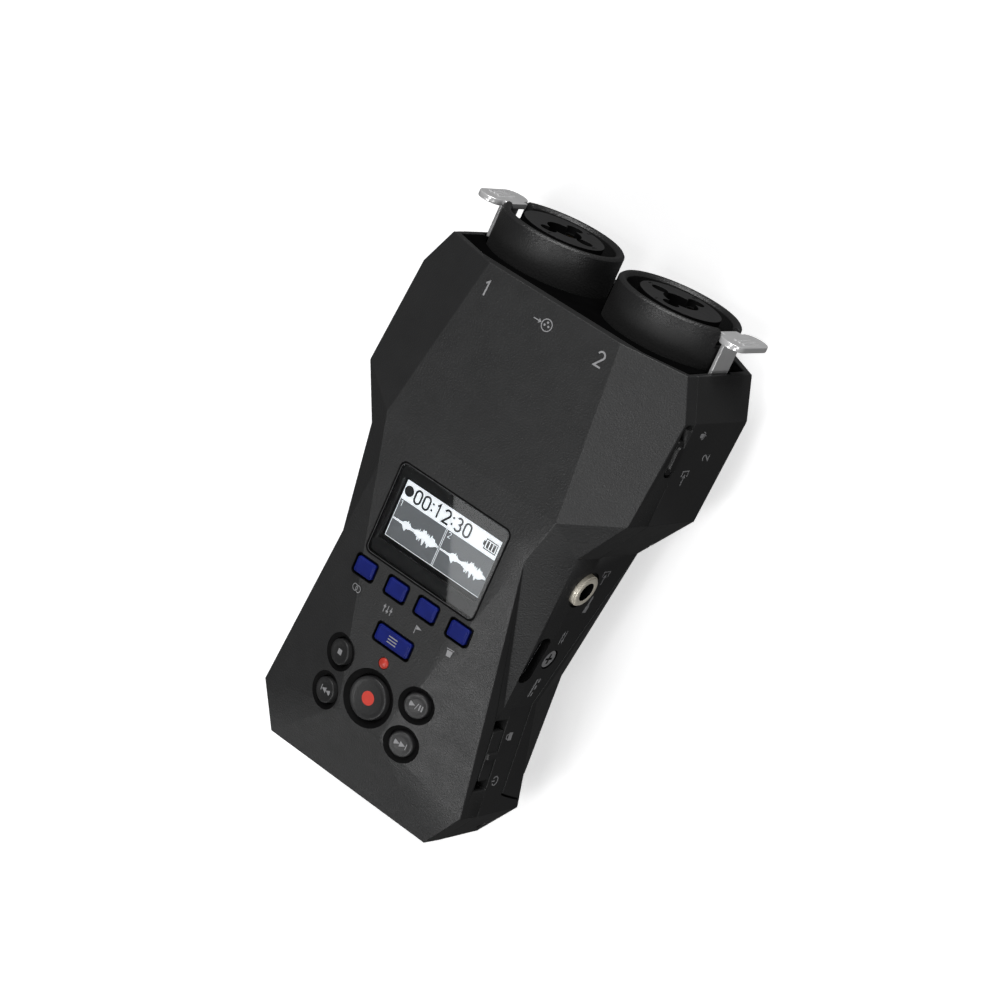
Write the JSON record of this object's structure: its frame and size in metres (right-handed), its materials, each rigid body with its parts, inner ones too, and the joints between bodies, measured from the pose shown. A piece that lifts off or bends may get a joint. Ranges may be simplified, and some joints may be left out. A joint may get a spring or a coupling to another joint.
{
  "type": "portable field recorder",
  "caption": "Hand-held two-channel audio recorder with faceted case, display, transport keys, combined XLR and jack inputs, line input, headphone output and hinged battery door.",
  "frame": {"origin": "below the middle of the overall box, on the plane the flat back rests on", "axes": "+X across to the line input side, +Y towards the connector end, +Z out of the screen face"},
  "size_m": [0.0602, 0.1044, 0.0368],
  "materials": {
    "front_shell": "fine moulded grain",
    "rear_shell": "fine moulded grain",
    "black_plastic": "satin",
    "insert_plastic": "satin",
    "window": "clear, tinted edge",
    "lcd": "lit display",
    "board": "solder mask",
    "blue_key": "translucent satin",
    "dark_key": "satin",
    "red_lens": "clear red",
    "switch_metal": "stamped",
    "lever_chrome": "polished",
    "contact_gold": "gold flash",
    "bush_metal": "turned",
    "insert_brass": "turned",
    "screw_steel": "blackened",
    "spring_steel": "nickel plated",
    "cell_wrap": "printed sleeve",
    "speaker_frame": "plain"
  },
  "bodies": {
    "case": {"front_cover": "front_shell", "rear_cover": "rear_shell", "end_plate": "black_plastic", "door_hinge_pin": "screw_steel", "display_window": "window", "lcd_panel": "lcd", "lcd_holder": "black_plastic", "main_board": "board", "input_board": "board", "tact_switches": "switch_metal", "record_light": "red_lens", "xlr_housing_1": "black_plastic", "xlr_housing_2": "black_plastic", "xlr_insert_1": "insert_plastic", "xlr_insert_2": "insert_plastic", "xlr_contacts_1": "contact_gold", "xlr_contacts_2": "contact_gold", "lever_spring_1": "spring_steel", "lever_spring_2": "spring_steel", "input_switch_1": "switch_metal", "input_switch_2": "switch_metal", "line_in_jack": "black_plastic", "line_in_bush": "bush_metal", "headphone_jack": "black_plastic", "headphone_bush": "bush_metal", "usb_port": "switch_metal", "power_switch": "switch_metal", "volume_switch": "switch_metal", "card_socket": "switch_metal", "tripod_insert": "insert_brass", "case_screws": "screw_steel", "side_screw": "screw_steel", "board_screws": "screw_steel", "contact_plates": "spring_steel", "battery_springs": "spring_steel", "battery_cell_1": "cell_wrap", "battery_cell_2": "cell_wrap", "speaker": "speaker_frame"},
    "soft_key_1": {"soft_key_1": "blue_key"},
    "soft_key_2": {"soft_key_2": "blue_key"},
    "soft_key_3": {"soft_key_3": "blue_key"},
    "soft_key_4": {"soft_key_4": "blue_key"},
    "menu_key": {"menu_key": "blue_key"},
    "record_key": {"record_key": "dark_key"},
    "stop_key": {"stop_key": "dark_key"},
    "rewind_key": {"rewind_key": "dark_key"},
    "play_key": {"play_key": "dark_key"},
    "forward_key": {"forward_key": "dark_key"},
    "release_lever_1": {"release_lever_1": "lever_chrome"},
    "release_lever_2": {"release_lever_2": "lever_chrome"},
    "input_slider_1": {"input_slider_1": "black_plastic"},
    "input_slider_2": {"input_slider_2": "black_plastic"},
    "power_slider": {"power_slider": "black_plastic"},
    "volume_rocker": {"volume_rocker": "black_plastic"},
    "card_cover": {"card_cover": "rear_shell"},
    "battery_door": {"battery_door": "rear_shell"}
  },
  "joints": [
    {"name": "soft_key_1_press", "type": "slide", "parent": "case", "child": "soft_key_1", "axis": [0, -0.0193, 0.9998], "range_m": [-0.00045, 0], "stiffness_N_per_m": 1200},
    {"name": "soft_key_2_press", "type": "slide", "parent": "case", "child": "soft_key_2", "axis": [0, -0.0193, 0.9998], "range_m": [-0.00045, 0], "stiffness_N_per_m": 1200},
    {"name": "soft_key_3_press", "type": "slide", "parent": "case", "child": "soft_key_3", "axis": [0, -0.0193, 0.9998], "range_m": [-0.00045, 0], "stiffness_N_per_m": 1200},
    {"name": "soft_key_4_press", "type": "slide", "parent": "case", "child": "soft_key_4", "axis": [0, -0.0193, 0.9998], "range_m": [-0.00045, 0], "stiffness_N_per_m": 1200},
    {"name": "menu_key_press", "type": "slide", "parent": "case", "child": "menu_key", "axis": [0, -0.0193, 0.9998], "range_m": [-0.00045, 0], "stiffness_N_per_m": 1200},
    {"name": "record_key_press", "type": "slide", "parent": "case", "child": "record_key", "axis": [0, -0.0193, 0.9998], "range_m": [-0.00045, 0], "stiffness_N_per_m": 1500},
    {"name": "stop_key_press", "type": "slide", "parent": "case", "child": "stop_key", "axis": [-0.2242, -0.0834, 0.971], "range_m": [-0.00045, 0], "stiffness_N_per_m": 1200},
    {"name": "rewind_key_press", "type": "slide", "parent": "case", "child": "rewind_key", "axis": [-0.2242, -0.0834, 0.971], "range_m": [-0.00045, 0], "stiffness_N_per_m": 1200},
    {"name": "play_key_press", "type": "slide", "parent": "case", "child": "play_key", "axis": [0.2242, -0.0834, 0.971], "range_m": [-0.00045, 0], "stiffness_N_per_m": 1200},
    {"name": "forward_key_press", "type": "slide", "parent": "case", "child": "forward_key", "axis": [0.2242, -0.0834, 0.971], "range_m": [-0.00045, 0], "stiffness_N_per_m": 1200},
    {"name": "release_lever_1_push", "type": "slide", "parent": "case", "child": "release_lever_1", "axis": [0, 1, 0], "range_m": [-0.0012, 0], "stiffness_N_per_m": 1500, "deforming": ["lever_spring_1"]},
    {"name": "release_lever_2_push", "type": "slide", "parent": "case", "child": "release_lever_2", "axis": [0, 1, 0], "range_m": [-0.0012, 0], "stiffness_N_per_m": 1500, "deforming": ["lever_spring_2"]},
    {"name": "input_slider_1_slide", "type": "slide", "parent": "case", "child": "input_slider_1", "axis": [0.0082, 1, 0], "range_m": [0, 0.0026]},
    {"name": "input_slider_2_slide", "type": "slide", "parent": "case", "child": "input_slider_2", "axis": [-0.0082, 1, 0], "range_m": [0, 0.0026]},
    {"name": "power_slide", "type": "slide", "parent": "case", "child": "power_slider", "axis": [-0.1362, 0.9907, 0], "range_m": [-0.0015, 0.0015]},
    {"name": "volume_rock", "type": "hinge", "parent": "case", "child": "volume_rocker", "pos_m": [-0.01973, -0.02716, 0.0259], "axis": [0, 0, 1], "range_deg": [-3, 3], "stiffness_Nm_per_rad": 0.05},
    {"name": "card_cover_hinge", "type": "hinge", "parent": "case", "child": "card_cover", "pos_m": [-0.02267, 0.00087, 0.0223], "axis": [0.094, -0.9956, 0], "range_deg": [0, 80]},
    {"name": "battery_door_hinge", "type": "hinge", "parent": "case", "child": "battery_door", "pos_m": [0, 0.0125, 0.0016], "axis": [1, 0, 0], "range_deg": [0, 100]}
  ]
}
